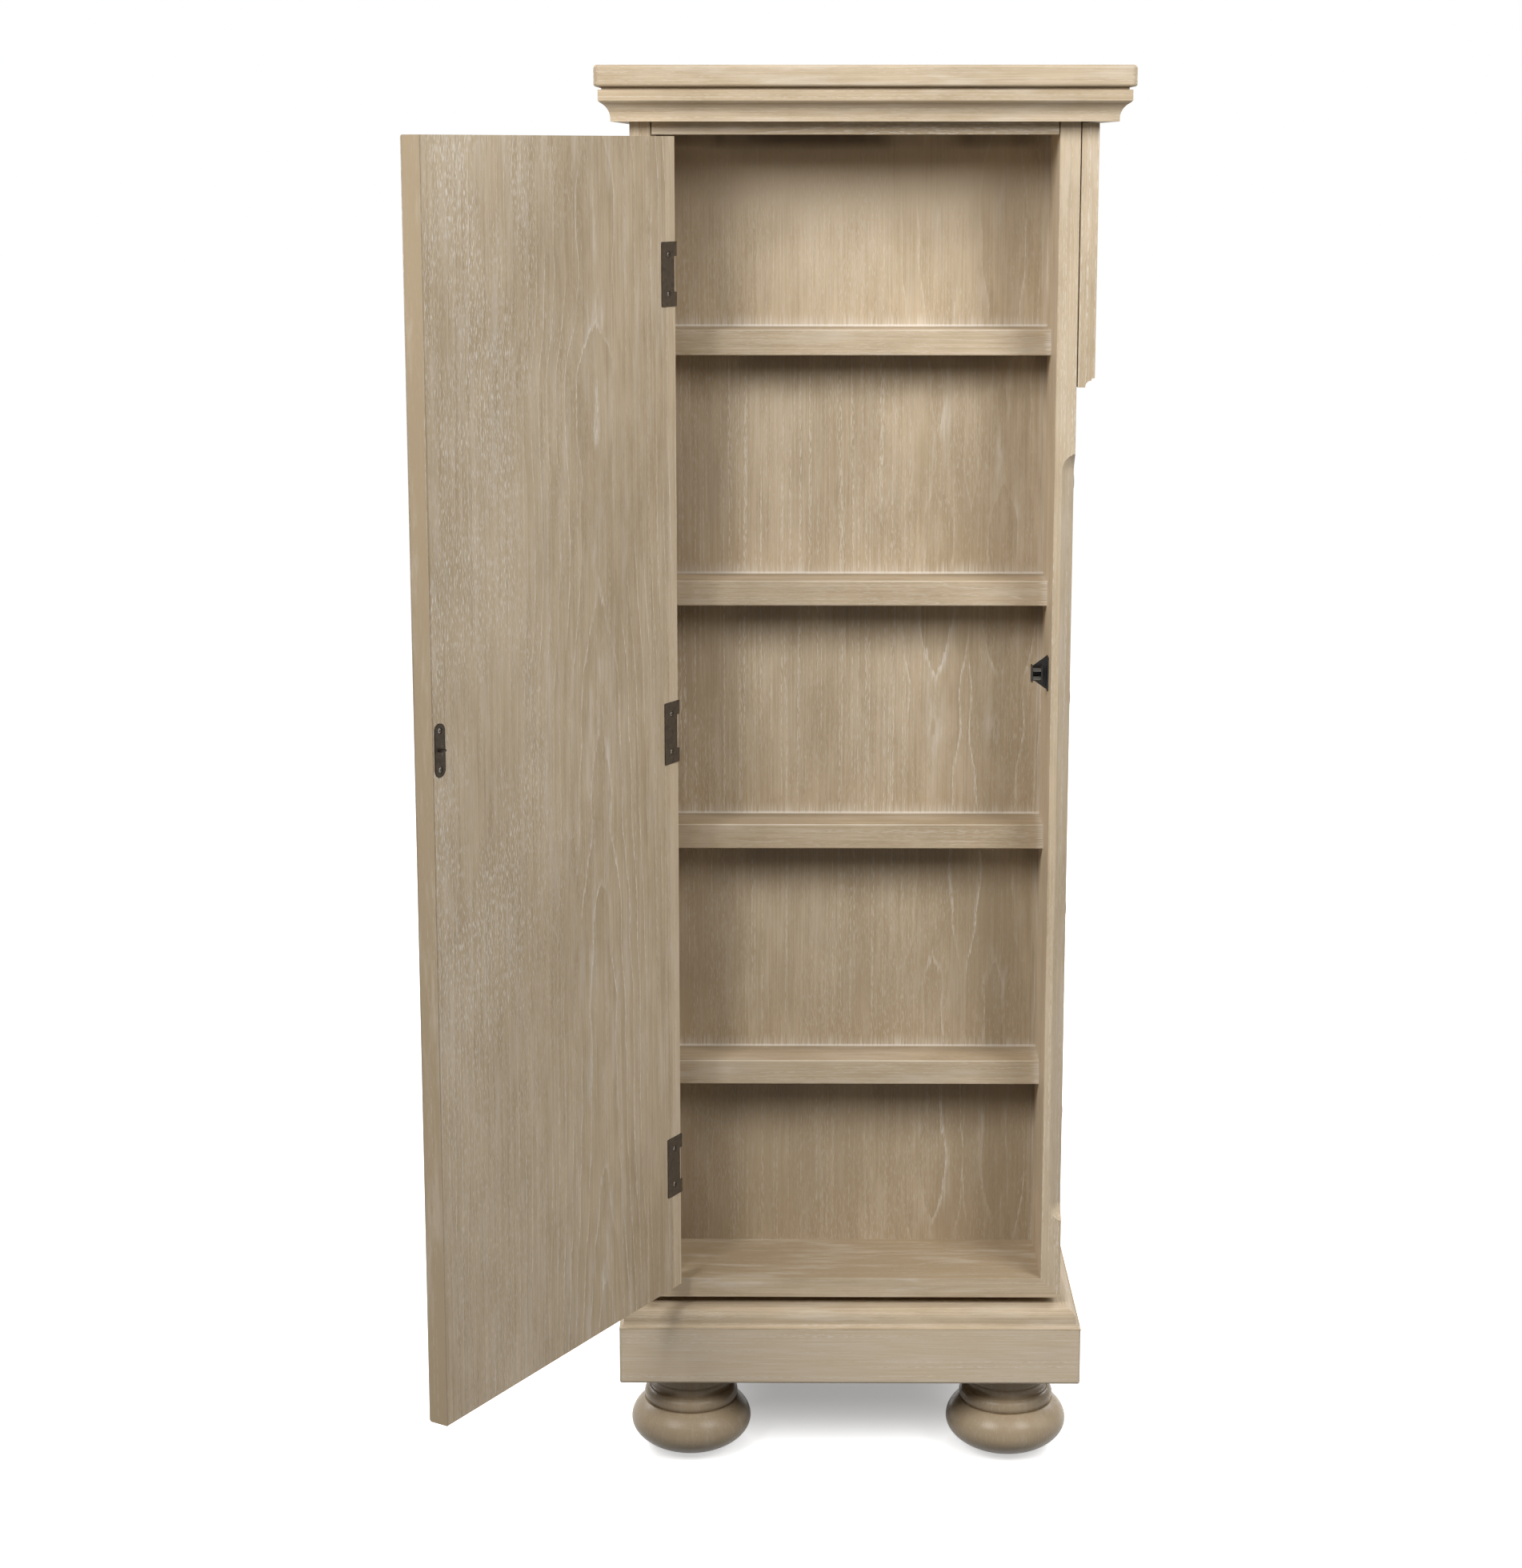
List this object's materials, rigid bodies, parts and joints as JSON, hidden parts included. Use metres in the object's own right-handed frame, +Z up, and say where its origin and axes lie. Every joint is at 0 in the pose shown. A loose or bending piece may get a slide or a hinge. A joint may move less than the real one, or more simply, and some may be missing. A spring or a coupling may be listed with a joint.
{
  "type": "swivel chest",
  "caption": "Tall narrow chest that turns on a moulded plinth with bun feet; drawers at the front, and a mirrored side door over shallow open shelves.",
  "frame": {"origin": "on the floor, on the axis of the swivel, at the centre between the feet", "axes": "+Z up; +X out of the drawer front; -Y out of the side with the door"},
  "size_m": [0.7125, 0.8859, 1.549],
  "materials": {
    "limed_wood": "limed, satin",
    "inner_wood": "plain, matt",
    "dark_metal": "aged pewter",
    "knob_metal": "aged pewter, satin",
    "black_metal": "black, satin",
    "steel": "bright",
    "mirror": "polished"
  },
  "bodies": {
    "base": {"base_top": "inner_wood", "bun_foot_back_left": "limed_wood", "bun_foot_back_right": "limed_wood", "bun_foot_front_left": "limed_wood", "bun_foot_front_right": "limed_wood", "corner_blocks": "inner_wood", "foot_bolts": "steel", "plinth_back": "limed_wood", "plinth_front": "limed_wood", "plinth_left": "limed_wood", "plinth_moulding": "limed_wood", "plinth_right": "limed_wood", "swivel_lower_race": "steel", "swivel_lower_screws": "steel"},
    "ball_ring": {"swivel_balls": "steel"},
    "cabinet": {"carcass_screws": "dark_metal", "carcass_top": "inner_wood", "catch_housing": "black_metal", "closet_back": "limed_wood", "crown_moulding": "limed_wood", "drawer_rails": "limed_wood", "drawer_runners": "inner_wood", "end_panel": "limed_wood", "far_post": "limed_wood", "floor_board": "limed_wood", "frame_hinge_leaves": "dark_metal", "head_rail": "limed_wood", "hinge_side": "limed_wood", "near_side": "limed_wood", "shelf_1": "limed_wood", "shelf_2": "limed_wood", "shelf_3": "limed_wood", "shelf_4": "limed_wood", "swivel_upper_race": "steel", "swivel_upper_screws": "steel", "top_board": "limed_wood"},
    "door": {"door_panel": "limed_wood", "mirror_glass": "mirror", "mirror_beads": "limed_wood", "door_hinge_leaves": "dark_metal", "hinge_pins": "dark_metal", "strike_plate": "dark_metal", "door_screws": "dark_metal"},
    "catch_roller_lower_body": {"catch_roller_lower": "steel"},
    "catch_roller_upper_body": {"catch_roller_upper": "steel"},
    "drawer_1": {"drawer_1_front": "limed_wood", "drawer_1_box": "inner_wood", "drawer_1_knob": "knob_metal"},
    "drawer_2": {"drawer_2_front": "limed_wood", "drawer_2_box": "inner_wood", "drawer_2_knob": "knob_metal"},
    "drawer_3": {"drawer_3_front": "limed_wood", "drawer_3_box": "inner_wood", "drawer_3_knob": "knob_metal"},
    "drawer_4": {"drawer_4_front": "limed_wood", "drawer_4_box": "inner_wood", "drawer_4_knob": "knob_metal"},
    "frieze_drawer": {"frieze_drawer_front": "limed_wood", "frieze_drawer_box": "inner_wood", "frieze_drawer_knob": "knob_metal"}
  },
  "joints": [
    {"name": "swivel", "type": "hinge", "parent": "base", "child": "cabinet", "pos_m": [0, 0, 0.1945], "axis": [0, 0, 1], "continuous": true},
    {"name": "ball_run", "type": "hinge", "parent": "base", "child": "ball_ring", "pos_m": [0, 0, 0.1945], "axis": [0, 0, 1], "continuous": true},
    {"name": "door_swing", "type": "hinge", "parent": "cabinet", "child": "door", "pos_m": [-0.2115, -0.2389, 0.85], "axis": [0, 0, -1], "range_deg": [-121, 49]},
    {"name": "roller_lower_spin", "type": "hinge", "parent": "cabinet", "child": "catch_roller_lower_body", "pos_m": [0.2005, -0.2049, 0.8984], "axis": [1, 0, 0], "continuous": true},
    {"name": "roller_upper_spin", "type": "hinge", "parent": "cabinet", "child": "catch_roller_upper_body", "pos_m": [0.2005, -0.2049, 0.9076], "axis": [1, 0, 0], "continuous": true},
    {"name": "drawer_1_slide", "type": "slide", "parent": "cabinet", "child": "drawer_1", "axis": [1, 0, 0], "range_m": [0, 0.3]},
    {"name": "drawer_2_slide", "type": "slide", "parent": "cabinet", "child": "drawer_2", "axis": [1, 0, 0], "range_m": [0, 0.3]},
    {"name": "drawer_3_slide", "type": "slide", "parent": "cabinet", "child": "drawer_3", "axis": [1, 0, 0], "range_m": [0, 0.3]},
    {"name": "drawer_4_slide", "type": "slide", "parent": "cabinet", "child": "drawer_4", "axis": [1, 0, 0], "range_m": [0, 0.3]},
    {"name": "frieze_drawer_slide", "type": "slide", "parent": "cabinet", "child": "frieze_drawer", "axis": [1, 0, 0], "range_m": [0, 0.3]}
  ],
  "couplings": [
    {"joint": "ball_run", "follows": "swivel", "ratio": 0.5}
  ]
}
